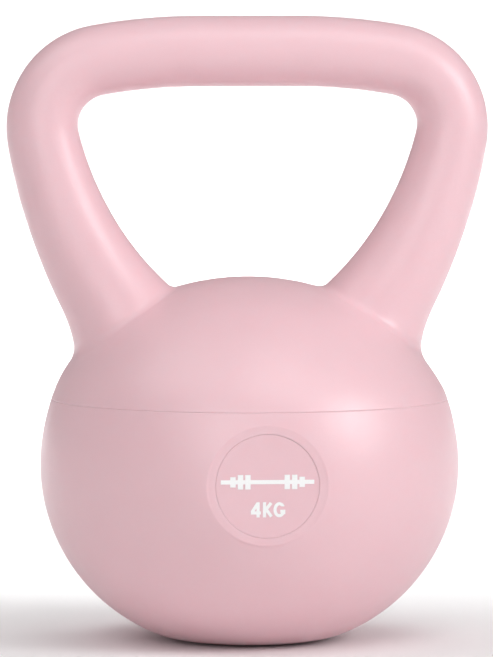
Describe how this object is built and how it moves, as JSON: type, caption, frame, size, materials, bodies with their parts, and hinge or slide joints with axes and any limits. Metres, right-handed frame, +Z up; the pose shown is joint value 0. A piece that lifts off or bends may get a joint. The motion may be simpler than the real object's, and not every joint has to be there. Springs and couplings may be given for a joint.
{
  "type": "kettlebell",
  "caption": "Soft vinyl kettlebell: a sand-filled ball with a flat base, a seam above its widest line, a flush filling plug, and a wide loop handle in one with the upper shell.",
  "frame": {"origin": "centre of the flat rest face under the ball, on the floor", "axes": "+Z up, X along the handle's bar, -Y towards the filling plug and its printed mark"},
  "size_m": [0.1698, 0.1447, 0.22],
  "materials": {
    "shell_vinyl": "satin soft PVC, pale pink",
    "ring_vinyl": "satin soft PVC, pale pink",
    "tube_steel": "drawn steel tube",
    "cap_plastic": "matte black polyethylene",
    "strap_steel": "flat mild steel bar",
    "sleeve_foam": "closed-cell foam",
    "sand": "packed iron sand",
    "neck_plastic": "natural white plastic",
    "plug_vinyl": "satin soft PVC, pale pink",
    "seal_rubber": "black rubber ring",
    "white_ink": "white pad-printed ink"
  },
  "bodies": {
    "root": {"upper_shell": "shell_vinyl", "lower_shell": "shell_vinyl", "joint_ring": "ring_vinyl", "handle_core": "tube_steel", "core_end_plugs": "cap_plastic", "anchor_plate": "strap_steel", "handle_foam": "sleeve_foam", "sand_fill": "sand", "filler_neck": "neck_plastic", "filler_plug": "plug_vinyl", "plug_seal": "seal_rubber", "printed_mark": "white_ink"}
  },
  "joints": []
}
